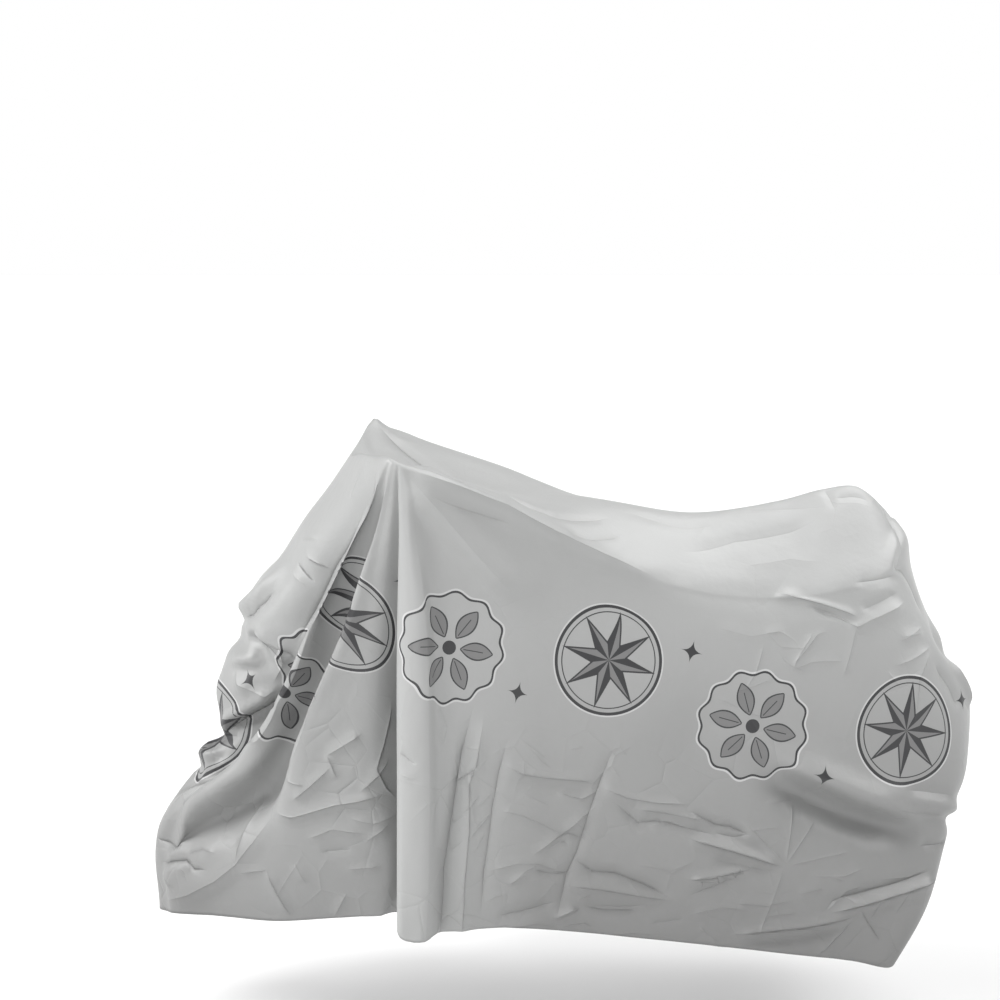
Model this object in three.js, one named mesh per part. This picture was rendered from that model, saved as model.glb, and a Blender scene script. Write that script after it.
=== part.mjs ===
// A fitted motorcycle cover: one hollow sheet of thin plastic film, open at the bottom, in the shape in
// which it hangs. Millimetres, +Z up, the front at -X, the near side at -Y.
// The origin is the underside of the film at the saddle, the low point of the top.
import * as THREE from "three";

// Driving sizes. Heights are measured from the ground that the cover hangs over.
const FILM = 1.5;
const SADDLE = { x: 456, height: 1226 };
const CHEST = 1000;
const WAIST = 820;
const TUCK = 660;
const KNEE = 440;

// The line through the two front peaks is turned a little: the near peak lies further back.
const PEAK_SKEW = THREE.MathUtils.degToRad(5.2);

// The ridge line of the top, on the mid-plane.
const SPINE = [
  { x: -340, height: 1364 },
  { x: -180, height: 1330 },
  { x: 0, height: 1282 },
  { x: 230, height: 1258 },
  { x: SADDLE.x, height: SADDLE.height },
  { x: 600, height: 1238 },
  { x: 745, height: 1275 },
  { x: 835, height: 1294 },
  { x: 885, height: 1278 },
  { x: 925, height: 1236 },
];

// One row for each fold or panel line of a side, from the nose round to the tail. A line runs from the
// spine over the shoulder and down to the hem. Its columns are its place on the spine, the share of the
// peaks' skew that its shoulder takes, and its points as [along, out from the mid-plane]. The shoulder
// and the hem add a height of their own, and the points between them lie at the four fixed heights.
// spine, skew, shoulder, chest, waist, tuck, knee, hem
const LINES = {
  nose: [-340, 0, [-356, 0, 1366], [-622, 0], [-676, 0], [-692, 0], [-838, 0], [-838, 0, 245]],
  cheek: [-308, 0.6, [-334, 150, 1386], [-542, 118], [-612, 90], [-652, 58], [-830, 36], [-834, 38, 248]],
  gully: [-288, 1, [-310, 296, 1401], [-420, 178], [-500, 126], [-588, 92], [-810, 66], [-816, 70, 253]],
  browFold: [-265, 1, [-283, 345, 1406], [-436, 255], [-517, 214], [-606, 172], [-800, 104], [-798, 104, 258]],
  slot: [-242, 1, [-279, 351, 1404], [-356, 240], [-432, 215], [-528, 198], [-668, 186], [-664, 184, 272]],
  secondFold: [-219, 1, [-273, 355, 1401], [-356, 322], [-438, 300], [-500, 276], [-524, 256], [-530, 250, 284]],
  skirt: [-198, 1, [-269, 357, 1399], [-308, 326], [-352, 314], [-396, 300], [-392, 283], [-402, 273, 298]],
  skirtEdge: [-177, 1, [-265, 359, 1397], [-272, 322], [-282, 310], [-296, 304], [-258, 290], [-272, 284, 313]],
  deepValley: [-156, 1, [-260, 360, 1395], [-222, 296], [-214, 262], [-212, 254], [-220, 266], [-236, 262, 318]],
  pipeEdge: [-134, 1, [-254, 361, 1392], [-231, 386], [-232, 402], [-232, 410], [-233, 416], [-234, 416, 330]],
  pipeFold: [-110, 1, [-246, 361, 1389], [-199, 410], [-198, 426], [-198, 432], [-202, 430], [-206, 424, 304]],
  pipeLee: [-76, 1, [-230, 357, 1383], [-155, 386], [-146, 400], [-143, 406], [-142, 408], [-142, 406, 320]],
  frontFlank: [30, 0, [16, 330, 1294], [5, 362], [2, 378], [0, 386], [0, 395], [0, 398, 326]],
  saddleFlank: [236, 0, [230, 294, 1176], [230, 324], [230, 350], [230, 364], [230, 375], [230, 380, 307]],
  rearFlank: [462, 0, [462, 263, 1092], [462, 292], [461, 326], [461, 346], [461, 361], [461, 368, 277]],
  tailFlank: [672, 0, [690, 238, 1073], [692, 266], [694, 300], [695, 318], [695, 338], [695, 350, 241]],
  haunch: [775, 0, [818, 228, 1096], [852, 242], [905, 262], [910, 278], [884, 306], [824, 336, 222]],
  rearCorner: [855, 0, [908, 180, 1112], [972, 176], [1078, 162], [1090, 196], [1050, 246], [922, 318, 203]],
  tail: [925, 0, [962, 0, 1180], [1022, 0], [1128, 0], [1120, 0], [1066, 0], [968, 0, 236]],
};

// The film bends tightly over the shoulder: this share of the way to the spine and to the chest is
// almost straight again. The top between them is crowned by a share of its own width.
const BEND_SHARE = 0.18;
const CROWN_SHARE = 0.05;

// On the far side the same folds hang softer: each keeps this share of its depth.
const FAR_FOLD_SHARE = 0.55;

const NEAR = -1;
const FAR = 1;

// Broad slack folds across the sides: the line that each follows as [along, height], its half width,
// and how far it stands out.
const SLACK_FOLDS = [
  { side: NEAR, from: [475, 745], to: [1030, 470], half: 110, out: -24 },
  { side: NEAR, from: [-170, 1330], to: [45, 1117], half: 48, out: 12 },
  { side: FAR, from: [80, 840], to: [700, 520], half: 120, out: -22 },
];

// The grid: columns between two neighbouring lines, and rows between the levels of a line.
const COLUMNS_PER_LINE = 3;
const ROWS_PER_LEVEL = [2, 1, 1, 3, 3, 3, 3, 2];

const spineCurve = new THREE.CatmullRomCurve3(SPINE.map(({ x, height }) => new THREE.Vector3(x, 0, height)));

// The spine's point at a place along the cover.
function spinePoint(x) {
  const after = Math.max(1, SPINE.findIndex((point) => point.x >= x));
  const from = SPINE[after - 1];
  const share = (x - from.x) / (SPINE[after].x - from.x);
  return new THREE.Vector3(x, 0, spineCurve.getPoint((after - 1 + share) / (SPINE.length - 1)).z);
}

// The points of one line on one side: spine, crown, shoulder, brow, four fixed heights and hem.
function levelPoints([spine, skew, shoulder, chest, waist, tuck, knee, hem], side) {
  const at = ([x, out, ownHeight], height = ownHeight) => new THREE.Vector3(x, side * out, height);
  const top = spinePoint(spine);
  const bend = at(shoulder);
  bend.x -= bend.y * skew * Math.tan(PEAK_SKEW);
  const below = at(chest, CHEST);
  const crown = bend.clone().lerp(top, BEND_SHARE);
  crown.z += CROWN_SHARE * (1 - skew) * top.distanceTo(bend);
  const brow = bend.clone().lerp(below, BEND_SHARE);
  return [top, crown, bend, brow, below, at(waist, WAIST), at(tuck, TUCK), at(knee, KNEE), at(hem)];
}

// A line of the far side, drawn towards the mean of its two neighbours.
function softened(lines, index) {
  const [before, line, after] = lines.slice(index - 1, index + 2);
  return line.map((point, level) => {
    if (level === 0) return point;
    const mean = before[level].clone().add(after[level]).multiplyScalar(0.5);
    return mean.lerp(point, (1 + FAR_FOLD_SHARE) / 2);
  });
}

// All lines in a closed loop: the near side from nose to tail, then the far side back to the nose.
function loopOfLines() {
  const rows = Object.values(LINES);
  const near = rows.map((row) => levelPoints(row, NEAR));
  const far = rows.map((row) => levelPoints(row, FAR));
  const between = far.slice(1, -1).map((_, index) => softened(far, index + 1));
  return [...near, ...between.reverse()];
}

// The grid of the film's outer face: one column of points for each step round the loop. Each column's
// curve starts on the other side's crown, so that the top is smooth across the spine.
function outerColumns() {
  const loop = loopOfLines();
  const around = loop[0].map((_, level) => {
    return new THREE.CatmullRomCurve3(loop.map((line) => line[level]), true);
  });
  const steps = loop.length * COLUMNS_PER_LINE;
  const knots = Array.from({ length: steps }, (_, step) => around.map((curve) => curve.getPoint(step / steps)));
  return knots.map((points, step) => {
    const opposite = knots[(steps - step) % steps][1];
    const down = new THREE.CatmullRomCurve3([opposite, ...points]);
    const column = ROWS_PER_LEVEL.flatMap((rows, level) => {
      return Array.from({ length: rows }, (_, row) => down.getPoint((level + 1 + row / rows) / points.length));
    });
    return [...column, points.at(-1)];
  });
}

// How far the slack folds move a point of the film outwards.
function slackAt(point) {
  return SLACK_FOLDS.filter(({ side }) => side * point.y > 0).reduce((sum, { from, to, half, out }) => {
    const start = new THREE.Vector2(...from);
    const along = new THREE.Vector2(...to).sub(start);
    const place = new THREE.Vector2(point.x, point.z).sub(start);
    const share = THREE.MathUtils.clamp(place.dot(along) / along.lengthSq(), 0, 1);
    const distance = place.distanceTo(along.multiplyScalar(share));
    return sum + out * Math.exp(-((distance / half) ** 2));
  }, 0);
}

// Points moved along the normals of the faces around them, each by its own distance.
function movedOut(points, faces, distanceAt) {
  const surface = new THREE.BufferGeometry().setFromPoints(points);
  surface.setIndex(faces.flat());
  surface.computeVertexNormals();
  const normal = new THREE.Vector3();
  return points.map((point, index) => {
    normal.fromBufferAttribute(surface.attributes.normal, index);
    return point.clone().addScaledVector(normal, distanceAt(point));
  });
}

// The film as one closed shell: the outer face, the inner face one film thickness behind it, and the
// rim of the hem between them. The two sides share their points along the spine, and each square of the
// grid is split from its upper corner on the side of the nose or of the tail, whichever is nearer.
function filmGeometry() {
  const columns = outerColumns();
  const rows = columns[0].length;
  const half = columns.length / 2;
  const quarter = columns.length / 4;
  const indexOf = (column, row) => {
    const place = column % columns.length;
    return (row === 0 && place > half ? columns.length - place : place) * rows + row;
  };
  const faces = columns.flatMap((_, column) => {
    return Array.from({ length: rows - 1 }, (_, row) => {
      const [a, b] = [indexOf(column, row), indexOf(column + 1, row)];
      const [c, d] = [indexOf(column, row + 1), indexOf(column + 1, row + 1)];
      const endsAtA = Math.floor(column / quarter) % 2 === 0;
      return endsAtA ? [[a, c, d], [a, d, b]] : [[a, c, b], [b, c, d]];
    }).flat();
  });
  const outer = movedOut(columns.flat(), faces, slackAt);
  const inner = movedOut(outer, faces, () => -FILM);
  const behind = outer.length;
  const shell = faces.flatMap(([a, b, c]) => [a, b, c, a + behind, c + behind, b + behind]);
  columns.forEach((_, column) => {
    const [a, b] = [indexOf(column, rows - 1), indexOf(column + 1, rows - 1)];
    shell.push(a, a + behind, b, b, a + behind, b + behind);
  });
  const geometry = new THREE.BufferGeometry().setFromPoints([...outer, ...inner]);
  geometry.setIndex(shell);
  return geometry;
}

const film = new THREE.MeshStandardMaterial({ color: 0xb4b5b3, roughness: 0.42, metalness: 0.15 });
const cover = new THREE.Mesh(filmGeometry(), film);
cover.name = "cover";
cover.position.set(-SADDLE.x, 0, FILM - SADDLE.height);

const part = new THREE.Group();
part.add(cover);

export default part;
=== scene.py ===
"""A fitted motorcycle cover of thin silver-grey film, hanging in folds from its two front peaks."""
import math

import bpy
import numpy as np
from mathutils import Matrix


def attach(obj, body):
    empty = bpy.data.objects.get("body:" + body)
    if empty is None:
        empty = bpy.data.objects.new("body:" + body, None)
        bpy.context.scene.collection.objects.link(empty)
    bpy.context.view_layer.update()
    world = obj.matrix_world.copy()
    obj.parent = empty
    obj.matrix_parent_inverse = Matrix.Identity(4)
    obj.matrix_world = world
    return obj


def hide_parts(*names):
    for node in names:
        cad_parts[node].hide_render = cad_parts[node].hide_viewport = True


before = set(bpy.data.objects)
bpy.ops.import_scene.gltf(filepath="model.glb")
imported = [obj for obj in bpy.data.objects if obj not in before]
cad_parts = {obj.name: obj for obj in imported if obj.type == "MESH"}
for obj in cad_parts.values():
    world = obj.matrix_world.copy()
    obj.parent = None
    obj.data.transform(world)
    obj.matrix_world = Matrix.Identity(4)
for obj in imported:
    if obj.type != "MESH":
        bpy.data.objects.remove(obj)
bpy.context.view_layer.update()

# The camera
# It looks along +Y at the near side from a little above it, tilted down, through a long lens. The frame is
# square, with the cover low in it.
CAMERA_PLACE = (-0.456, -5.432, 0.8935)
CAMERA_TILT = math.radians(9.0)
CAMERA_LENS = 82.5
SENSOR_WIDTH = 36.0

camera = bpy.data.objects.new("camera", bpy.data.cameras.new("camera"))
camera.data.lens = CAMERA_LENS
camera.data.sensor_width = SENSOR_WIDTH
camera.location = CAMERA_PLACE
camera.rotation_euler = (math.pi / 2 - CAMERA_TILT, 0, 0)
bpy.context.scene.collection.objects.link(camera)
bpy.context.scene.camera = camera

# The cover
# One hollow sheet of embossed plastic film, folded at the spine, welded up the front and the rear and open
# at the bottom. It hangs from two peaks in front, dips at the saddle and is raised again at the tail.
# Places are in millimetres: along the cover, out from the mid-plane, and in height above the ground.
MILLIMETRE = 0.001
FILM = 1.5
SADDLE = (456, 1226)
LEVEL_HEIGHTS = {"chest": 1000, "waist": 820, "tuck": 660, "knee": 440}
PEAK_SKEW = math.tan(math.radians(5.2))
BEND_SHARE = 0.18
CROWN_SHARE = 0.05
FAR_FOLD_SHARE = 0.55

# The ridge line of the top: place along the cover, height.
SPINE = [
    (-340, 1364), (-180, 1330), (0, 1282), (230, 1258), SADDLE,
    (600, 1238), (745, 1275), (835, 1294), (885, 1278), (925, 1236),
]

# The folds and panel lines of a side, from the nose round to the tail, each from the spine to the hem:
# place on the spine, share of the peaks' skew, shoulder (along, out, height), then chest, waist, tuck and
# knee (along, out) and hem (along, out, height).
LINES = {
    "nose": [-340, 0, (-356, 0, 1366),
             (-622, 0), (-676, 0), (-692, 0), (-838, 0), (-838, 0, 245)],
    "cheek": [-308, 0.6, (-334, 150, 1386),
              (-542, 118), (-612, 90), (-652, 58), (-830, 36), (-834, 38, 248)],
    "gully": [-288, 1, (-310, 296, 1401),
              (-420, 178), (-500, 126), (-588, 92), (-810, 66), (-816, 70, 253)],
    "brow_fold": [-265, 1, (-283, 345, 1406),
                  (-436, 255), (-517, 214), (-606, 172), (-800, 104), (-798, 104, 258)],
    "slot": [-242, 1, (-279, 351, 1404),
             (-356, 240), (-432, 215), (-528, 198), (-668, 186), (-664, 184, 272)],
    "second_fold": [-219, 1, (-273, 355, 1401),
                    (-356, 322), (-438, 300), (-500, 276), (-524, 256), (-530, 250, 284)],
    "skirt": [-198, 1, (-269, 357, 1399),
              (-308, 326), (-352, 314), (-396, 300), (-392, 283), (-402, 273, 298)],
    "skirt_edge": [-177, 1, (-265, 359, 1397),
                   (-272, 322), (-282, 310), (-296, 304), (-258, 290), (-272, 284, 313)],
    "deep_valley": [-156, 1, (-260, 360, 1395),
                    (-222, 296), (-214, 262), (-212, 254), (-220, 266), (-236, 262, 318)],
    "pipe_edge": [-134, 1, (-254, 361, 1392),
                  (-231, 386), (-232, 402), (-232, 410), (-233, 416), (-234, 416, 330)],
    "pipe_fold": [-110, 1, (-246, 361, 1389),
                  (-199, 410), (-198, 426), (-198, 432), (-202, 430), (-206, 424, 304)],
    "pipe_lee": [-76, 1, (-230, 357, 1383),
                 (-155, 386), (-146, 400), (-143, 406), (-142, 408), (-142, 406, 320)],
    "front_flank": [30, 0, (16, 330, 1294),
                    (5, 362), (2, 378), (0, 386), (0, 395), (0, 398, 326)],
    "saddle_flank": [236, 0, (230, 294, 1176),
                     (230, 324), (230, 350), (230, 364), (230, 375), (230, 380, 307)],
    "rear_flank": [462, 0, (462, 263, 1092),
                   (462, 292), (461, 326), (461, 346), (461, 361), (461, 368, 277)],
    "tail_flank": [672, 0, (690, 238, 1073),
                   (692, 266), (694, 300), (695, 318), (695, 338), (695, 350, 241)],
    "haunch": [775, 0, (818, 228, 1096),
               (852, 242), (905, 262), (910, 278), (884, 306), (824, 336, 222)],
    "rear_corner": [855, 0, (908, 180, 1112),
                    (972, 176), (1078, 162), (1090, 196), (1050, 246), (922, 318, 203)],
    "tail": [925, 0, (962, 0, 1180),
             (1022, 0), (1128, 0), (1120, 0), (1066, 0), (968, 0, 236)],
}
NEAR = -1
FAR = 1
SHOULDER_LEVEL = 2

# Broad slack folds across the sides: side, where each starts and ends (along, height), half width, and how
# far it stands out.
SLACK_FOLDS = [
    (NEAR, (475, 745), (1030, 470), 110, -24),
    (NEAR, (-170, 1330), (45, 1117), 48, 12),
    (FAR, (80, 840), (700, 520), 120, -22),
]

# The main creases of a side. Each has its path, as places along the film from the pipe fold (the tail's
# way is positive) and heights, the half width of its soft trough or ridge, how far that stands out, and
# the height of the crisp line along its middle.
SIDE_CREASES = [
    # the slack below the shoulder
    ([(600, 1140), (745, 1092), (860, 1076), (975, 1073)], 34, -6, 0),
    ([(50, 1330), (110, 1302), (180, 1280), (260, 1255)], 14, -3, -1.8),
    ([(5, 1375), (90, 1277), (175, 1178), (260, 1080)], 30, 16, 0.8),
    # the broad lee of the pipe fold, and the pleats beside it
    ([(6, 1375), (20, 1200), (30, 1000), (34, 700), (34, -100)], 24, 20, 0.8),
    ([(150, 860), (120, 740), (110, 675), (95, 575), (80, 475), (75, 250)], 13, -11, -3.3),
    ([(172, 835), (150, 705), (135, 670), (135, 555), (125, 440), (125, 250)], 14, 12, 3.3),
    ([(105, 670), (155, 708)], 12, -4, -3.6),
    ([(228, 780), (205, 695), (190, 615), (180, 530), (170, 460), (165, 340)], 13, -5, -3),
    ([(475, 760), (435, 660), (410, 590), (385, 505), (360, 450), (340, 330)], 13, -5, -3),
    ([(120, 600), (160, 640)], 12, 1, 1.8),
    ([(135, 540), (180, 590)], 12, 1, 1.8),
    ([(60, 870), (85, 800), (70, 740)], 12, 3, 1.5),
    # the front half of the flank
    ([(210, 712), (260, 685), (325, 675), (440, 662)], 14, 6, 3),
    ([(225, 680), (300, 655), (430, 640)], 15, -4, 0),
    ([(335, 642), (395, 625), (440, 648)], 12, 3, 3),
    ([(435, 652), (500, 625), (570, 612), (650, 606)], 14, 6, 3),
    ([(465, 620), (525, 565), (570, 570), (640, 550), (710, 530)], 14, -6, -3),
    ([(510, 600), (590, 588), (690, 565)], 13, 5, 2.4),
    ([(200, 605), (260, 590), (320, 560), (355, 538)], 13, 4, 2.1),
    ([(432, 612), (370, 560), (335, 535), (275, 492)], 13, 5, 2.4),
    ([(335, 535), (365, 545), (400, 530)], 12, -4, -2.4),
    ([(372, 492), (420, 455), (475, 450), (535, 425), (610, 388)], 14, -7, -3.4),
    ([(355, 427), (460, 410), (610, 383)], 13, 6, 3),
    ([(380, 392), (470, 375), (600, 358)], 24, -4, 0),
    ([(200, 353), (265, 365), (340, 387)], 14, -5, -2.4),
    ([(330, 343), (390, 372)], 12, 5, 2.7),
    ([(400, 375), (450, 365), (540, 362)], 12, -3, -2.4),
    ([(170, 462), (250, 480), (300, 475), (368, 448)], 14, 4, 1.8),
    ([(280, 465), (330, 452), (375, 455)], 12, -4, -2.4),
    ([(225, 430), (270, 455)], 12, 3, 1.5),
    ([(215, 320), (300, 335), (345, 325)], 12, 3, 1.8),
    ([(260, 640), (320, 610)], 12, 1, 1.2),
    ([(250, 770), (310, 720)], 12, 1, 1.2),
    # the fine creases between them
    ([(130, 750), (160, 750)], 12, 1, 1.4),
    ([(185, 640), (155, 615)], 12, 1, 1.6),
    ([(185, 595), (160, 575), (145, 555)], 12, 1, 1.6),
    ([(170, 550), (155, 520), (145, 510)], 12, 1, 1.4),
    ([(125, 595), (100, 575)], 12, 1, 1.6),
    ([(120, 535), (95, 510)], 12, 1, 1.6),
    ([(340, 345), (395, 370)], 12, 2, 1.8),
    ([(390, 390), (415, 400)], 12, 1, 1.4),
    ([(350, 325), (405, 335), (430, 322)], 12, 2, 2),
    ([(545, 555), (590, 570), (665, 540)], 12, 2, 1.6),
    ([(315, 510), (350, 530), (365, 520)], 12, -2, -1.6),
    ([(365, 740), (395, 745)], 12, 1, 1.2),
    ([(265, 760), (300, 715), (325, 695)], 12, 1, 1.2),
    ([(455, 730), (480, 745), (495, 725)], 12, 1, 1.2),
    ([(225, 425), (265, 460), (295, 475)], 12, 2, 1.6),
    ([(175, 390), (200, 405), (225, 405)], 12, 1, 1.4),
    ([(420, 375), (485, 370), (550, 375)], 12, -1, -1.4),
    ([(520, 470), (600, 455), (650, 470)], 12, 1, 1.2),
    ([(440, 300), (520, 310), (600, 298)], 12, 1, 1.4),
    ([(560, 330), (640, 340)], 12, -1, -1.2),
    # the bulge of the rear flank and the hollow under it
    ([(640, 790), (780, 745), (930, 690), (1080, 640), (1220, 590)], 55, 10, 0),
    ([(690, 590), (890, 520), (1080, 450), (1250, 415)], 45, -3, 0),
    ([(1110, 590), (1180, 560), (1290, 535)], 16, 6, 1.2),
    ([(1150, 620), (1290, 590)], 16, -6, -1.2),
    # the rear, below the tail
    ([(920, 1080), (960, 1070), (995, 1050), (1050, 1022)], 14, 8, 2.7),
    ([(955, 1052), (1005, 1025), (1045, 1005)], 14, -7, -1.5),
    ([(970, 1040), (1040, 1000), (1080, 1015), (1195, 1047)], 13, 7, 2.7),
    ([(1060, 1035), (1190, 1070)], 13, -4, -1.2),
    ([(1105, 1100), (1235, 1106)], 13, -4, -1.8),
    ([(1038, 1000), (1020, 935), (1003, 885)], 14, 3, 1.8),
    ([(938, 992), (900, 940), (883, 905)], 14, 3, 1.8),
    ([(880, 908), (935, 925), (1010, 925)], 14, 3, 1.5),
    ([(820, 1000), (860, 960), (930, 955)], 14, 1, 1.2),
    ([(700, 1010), (790, 985), (880, 1000)], 16, 3, 0.9),
    ([(1245, 940), (1200, 870), (1180, 760)], 18, 5, 1.8),
    ([(1340, 895), (1360, 860), (1392, 815), (1405, 770)], 15, 12, 2.4),
    ([(1285, 985), (1335, 935), (1385, 895), (1480, 885), (1600, 885)], 30, -20, 0),
    ([(1150, 1165), (1240, 1165), (1500, 1165)], 40, 11, 0),
    ([(1250, 560), (1400, 545), (1600, 545)], 50, -11, 0),
    ([(1250, 900), (1300, 840), (1330, 780)], 16, -8, -1.5),
    ([(1150, 960), (1230, 985)], 13, 3, 1.5),
    ([(1225, 1140), (1258, 1112), (1268, 1060), (1262, 1000)], 15, -5, -2),
    # the fine creases there
    ([(815, 990), (860, 995), (890, 975), (910, 945)], 12, 1, 1.4),
    ([(880, 915), (915, 950), (945, 985), (975, 995)], 12, 2, 1.8),
    ([(965, 1040), (1030, 1005)], 12, -2, -1.6),
    ([(1155, 970), (1230, 970)], 12, 1, 1.4),
    ([(1130, 905), (1180, 915), (1250, 940)], 13, 2, 1.6),
    ([(1115, 895), (1150, 855)], 12, 1, 1.2),
    ([(750, 860), (800, 875), (840, 890)], 12, 1, 1.4),
    ([(775, 865), (800, 905), (820, 970)], 12, 1, 1.6),
    ([(850, 950), (875, 920), (915, 905)], 12, 1, 1.4),
    ([(765, 820), (820, 800)], 12, 1, 1.4),
    ([(710, 845), (765, 825)], 12, 1, 1.2),
    # the creases that run together on the rear flank
    ([(630, 532), (665, 520), (745, 495), (845, 460), (868, 455)], 12, 8, 5),
    ([(650, 560), (760, 520), (850, 478)], 14, -7, 0),
    ([(690, 480), (790, 455), (855, 440)], 14, -5, -0.9),
    ([(1030, 480), (872, 457)], 13, 2, 1.8),
    ([(895, 600), (869, 460)], 13, 1, 2),
    ([(945, 555), (868, 458)], 13, 1, 2),
    ([(866, 456), (812, 290)], 13, 1, 1.8),
    ([(765, 570), (866, 462)], 13, 2, 2),
    ([(820, 600), (900, 600)], 12, 1, 1.4),
    ([(780, 540), (860, 545)], 12, 1, 1.5),
    # the lower rear flank
    ([(780, 450), (700, 440), (645, 430)], 12, 2, 1.8),
    ([(970, 345), (1015, 390), (1055, 400)], 12, 2, 1.6),
    ([(980, 425), (1010, 415)], 12, 1, 1.4),
    ([(1010, 380), (1040, 360)], 12, 1, 1.4),
    ([(675, 320), (705, 290)], 12, 1, 1.4),
    ([(970, 240), (990, 270), (1020, 305)], 12, 1, 1.4),
    ([(745, 375), (825, 365), (890, 375)], 12, 2, 1.6),
    ([(1100, 410), (1175, 410), (1230, 425)], 12, 1, 1.4),
    ([(830, 340), (900, 345)], 12, 1, 1.2),
    ([(745, 295), (765, 300), (925, 310), (1020, 325), (1045, 330)], 12, 12, 5),
    ([(775, 272), (900, 283), (1010, 300)], 14, -8, 0),
    ([(970, 340), (1070, 360), (1145, 375), (1235, 390), (1275, 400)], 12, 12, 5),
    ([(960, 340), (985, 370), (1020, 380), (1130, 397), (1240, 420)], 12, -7, -4),
    ([(640, 592), (705, 556), (740, 550), (785, 528)], 12, -6, -3.6),
    ([(705, 536), (750, 525), (785, 532)], 12, -3, -2.4),
    ([(635, 433), (695, 435), (765, 450), (800, 460)], 12, 6, 3.6),
    ([(645, 395), (725, 425), (785, 452)], 12, -2, -2),
    ([(650, 350), (720, 365), (790, 355)], 13, 3, 1.5),
    ([(1048, 345), (1095, 272)], 12, 4, 3.4),
    ([(1100, 372), (1075, 320)], 12, 3, 1.8),
    ([(1180, 390), (1130, 330)], 12, 3, 1.8),
    ([(1035, 325), (955, 230)], 12, 3, 2.1),
    ([(700, 300), (740, 255)], 12, 3, 1.5),
    ([(930, 430), (1010, 425), (1060, 440)], 13, 3, 1.8),
    ([(900, 390), (960, 400)], 12, 3, 1.5),
    ([(1200, 478), (1295, 470)], 13, -6, -3),
    # the two front folds, the slot between them and the groove before the first
    ([(-75, 1400), (-135, 1330), (-270, 1230), (-415, 1125), (-520, 1035), (-640, 930)], 20, -14, -7),
    ([(-50, 1380), (-90, 1325), (-285, 1115), (-380, 1010), (-480, 850), (-540, 720)], 40, -26, 0),
    ([(-470, 850), (-540, 760), (-580, 690), (-625, 605), (-690, 540), (-790, 480), (-910, 420)],
     36, -40, 0),
    ([(-45, 1406), (-110, 1335), (-445, 1000), (-605, 815), (-650, 715), (-720, 645), (-810, 595)],
     14, 7, 3.6),
    ([(-700, 660), (-810, 595), (-870, 545), (-895, 495)], 14, 7, 2.4),
    ([(-30, 1400), (-70, 1325), (-275, 1000), (-430, 820), (-510, 660)], 14, 5, 2.7),
    # the slack front panel
    ([(-775, 955), (-740, 922), (-760, 872)], 20, -26, 0),
    ([(-750, 965), (-697, 920), (-690, 878)], 13, 13, 3),
    ([(-720, 940), (-665, 908), (-655, 868)], 13, -6, -2.4),
    ([(-1000, 1125), (-600, 1130), (-470, 1150)], 60, -11, 0),
    ([(-1000, 932), (-850, 932), (-760, 936)], 34, -22, 0),
    ([(-1000, 790), (-860, 795), (-790, 805)], 45, 10, 0),
    ([(-965, 676), (-900, 682), (-815, 690)], 16, -15, -2.4),
    ([(-990, 616), (-900, 624), (-840, 640)], 19, 30, 0),
    ([(-1060, 548), (-920, 558), (-850, 580)], 24, -15, -1.6),
    ([(-800, 976), (-750, 992), (-700, 1022), (-640, 1057)], 12, -3, -5),
    ([(-890, 685), (-845, 720), (-805, 744), (-765, 768), (-735, 794), (-708, 835)], 12, -3, -6),
    ([(-195, 1360), (-260, 1290)], 20, 3, 1.2),
    ([(-482, 1147), (-430, 1128)], 12, 4, 3.3),
    ([(-524, 1128), (-492, 1090)], 12, -7, -3.9),
    ([(-500, 1175), (-420, 1190)], 13, 3, 1.5),
    ([(-560, 1110), (-520, 1080)], 14, 4, 1.2),
    ([(-845, 855), (-830, 825), (-765, 805), (-730, 822)], 14, 7, 2.1),
    ([(-680, 945), (-690, 890), (-738, 838)], 14, 8, 2.4),
    ([(-650, 985), (-600, 930), (-620, 870)], 22, 5, 0),
    # the skirt
    ([(-225, 840), (-262, 755), (-293, 675), (-265, 625), (-225, 590)], 13, 4, 4),
    ([(-508, 641), (-460, 634)], 12, 4, 2.7),
    ([(-488, 592), (-395, 684)], 13, 7, 3),
    ([(-545, 562), (-480, 555), (-385, 590), (-255, 617)], 14, 8, 3.3),
    ([(-410, 707), (-318, 764)], 13, 7, 3),
    ([(-407, 714), (-383, 652)], 12, 4, 2.7),
    ([(-330, 620), (-255, 696)], 13, 5, 2.7),
    ([(-350, 560), (-290, 545), (-230, 560)], 13, 4, 1.8),
    ([(-440, 500), (-380, 530), (-300, 520)], 13, 4, 1.8),
    ([(-300, 500), (-250, 540)], 12, 3, 1.8),
    ([(-400, 470), (-330, 480)], 12, -3, -1.8),
    ([(-330, 430), (-255, 440)], 12, 3, 1.8),
    ([(-460, 440), (-430, 390)], 12, 3, 1.5),
    ([(-535, 552), (-570, 480), (-610, 418), (-670, 366), (-755, 316), (-850, 280)], 22, 9, 2),
    ([(-628, 590), (-612, 520), (-610, 420)], 13, 5, 3),
    ([(-915, 425), (-895, 425), (-805, 430)], 13, -6, -3.6),
    ([(-770, 415), (-725, 435), (-680, 435)], 12, 3, 2.4),
    ([(-875, 373), (-760, 400), (-745, 380), (-690, 390)], 13, -9, -4.5),
    ([(-775, 375), (-755, 355)], 12, -2, -2),
    ([(-860, 350), (-800, 330)], 13, 4, 1.5),
    ([(-530, 415), (-490, 340), (-470, 300)], 14, 6, 3),
    ([(-600, 398), (-530, 415)], 12, 3, 2),
    ([(-365, 300), (-330, 368)], 12, 4, 2.1),
    ([(-32, 747), (8, 723)], 12, -3, -2.4),
    ([(-32, 700), (2, 690)], 12, 3, 1.5),
]

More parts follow.
